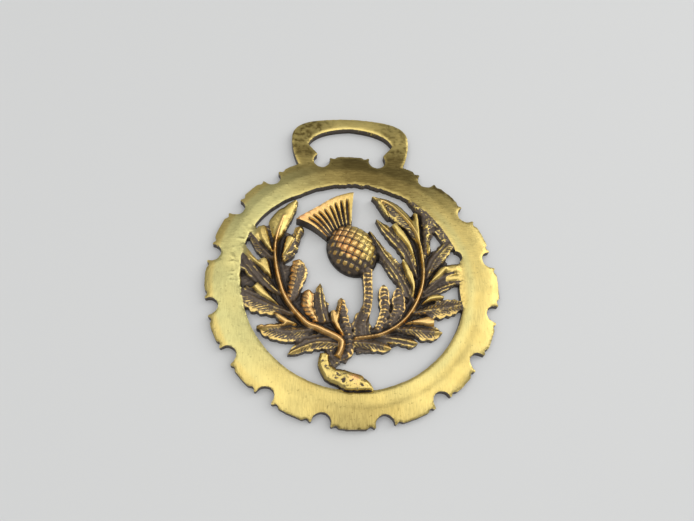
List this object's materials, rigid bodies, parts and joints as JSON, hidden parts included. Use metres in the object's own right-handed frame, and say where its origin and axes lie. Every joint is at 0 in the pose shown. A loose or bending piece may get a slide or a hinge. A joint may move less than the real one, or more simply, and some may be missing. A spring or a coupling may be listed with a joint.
{
  "type": "horse brass",
  "caption": "Cast brass harness ornament: a notched ring around an openwork thistle between two leafy sprays, with a slotted strap hanger on top.",
  "frame": {"origin": "on the flat back, under the middle of the outline", "axes": "+Z out of the decorated face, +Y from the ring towards the strap hanger, +X to the right when the face is seen with the hanger up"},
  "size_m": [0.076, 0.0886, 0.0061],
  "materials": {
    "brass": "cast brass, rubbed bright on the ring and on the raised leaves, with dark brown patina in the hollows"
  },
  "bodies": {
    "root": {"horse_brass": "brass"}
  },
  "joints": []
}
